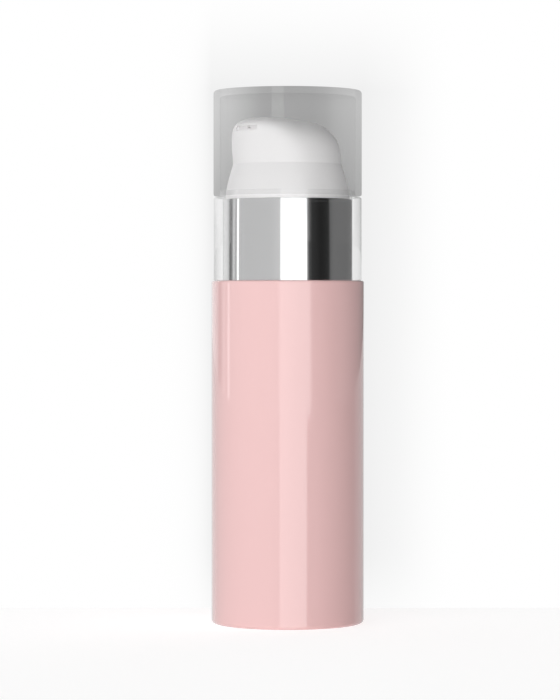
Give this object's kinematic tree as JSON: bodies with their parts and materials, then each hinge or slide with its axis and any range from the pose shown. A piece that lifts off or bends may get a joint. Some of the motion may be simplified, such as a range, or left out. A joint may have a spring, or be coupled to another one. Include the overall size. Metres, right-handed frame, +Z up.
{
  "type": "airless pump bottle",
  "caption": "Slim airless pump bottle: double-wall body with rising follower, spring pump with turning head, clear collar over a bright sleeve, and a clear pull-off cap.",
  "frame": {"origin": "centre of the foot, on the surface the bottle stands on", "axes": "+Z up along the bottle; the camera of the picture looks along +Y; the nozzle is turned from -X towards -Y at rest"},
  "size_m": [0.034, 0.034, 0.1187],
  "materials": {
    "pink_shell": "satin gloss, opaque dusty pink",
    "pink_plug": "satin, opaque dusty pink",
    "natural_plastic": "natural, milky",
    "soft_white": "waxy, soft",
    "gasket_rubber": "soft pale elastomer",
    "steel_ball": "ground bright",
    "moulded_white": "moulded white",
    "spring_steel": "drawn wire",
    "head_white": "satin gloss white",
    "bright_metal": "bright anodised mirror",
    "clear_plastic": "polished clear",
    "smoked_clear_plastic": "clear with a slight grey haze"
  },
  "bodies": {
    "bottle": {"outer_shell": "pink_shell", "base_plug": "pink_plug", "inner_bottle": "natural_plastic", "gasket": "gasket_rubber", "pump_housing": "natural_plastic", "ball_cage": "natural_plastic", "stem_guide": "moulded_white", "closure": "moulded_white", "main_spring": "spring_steel", "bright_sleeve": "bright_metal", "clear_collar": "clear_plastic"},
    "follower": {"follower_piston": "soft_white"},
    "valve_ball": {"inlet_ball": "steel_ball"},
    "stem_set": {"stem": "natural_plastic", "plunger_tip": "natural_plastic", "stem_hub": "moulded_white"},
    "seal": {"piston_seal": "soft_white"},
    "head": {"head_shell": "head_white", "spout_core": "moulded_white"},
    "cap": {"overcap": "smoked_clear_plastic"}
  },
  "joints": [
    {"name": "cap_lift", "type": "slide", "parent": "bottle", "child": "cap", "axis": [0, 0, 1], "range_m": [0, 0.03]},
    {"name": "pump_stroke", "type": "slide", "parent": "bottle", "child": "stem_set", "axis": [0, 0, -1], "range_m": [0, 0.0045], "stiffness_N_per_m": 700, "springref_m": -0.006, "deforming": ["main_spring"]},
    {"name": "head_swivel", "type": "hinge", "parent": "stem_set", "child": "head", "pos_m": [0, 0, 0.1], "axis": [0, 0, 1], "continuous": true},
    {"name": "seal_slip", "type": "slide", "parent": "stem_set", "child": "seal", "axis": [0, 0, 1], "range_m": [0, 0.0007]},
    {"name": "ball_lift", "type": "slide", "parent": "bottle", "child": "valve_ball", "axis": [0, 0, 1], "range_m": [0, 0.0007]},
    {"name": "follower_rise", "type": "slide", "parent": "bottle", "child": "follower", "axis": [0, 0, 1], "range_m": [0, 0.0604]}
  ]
}
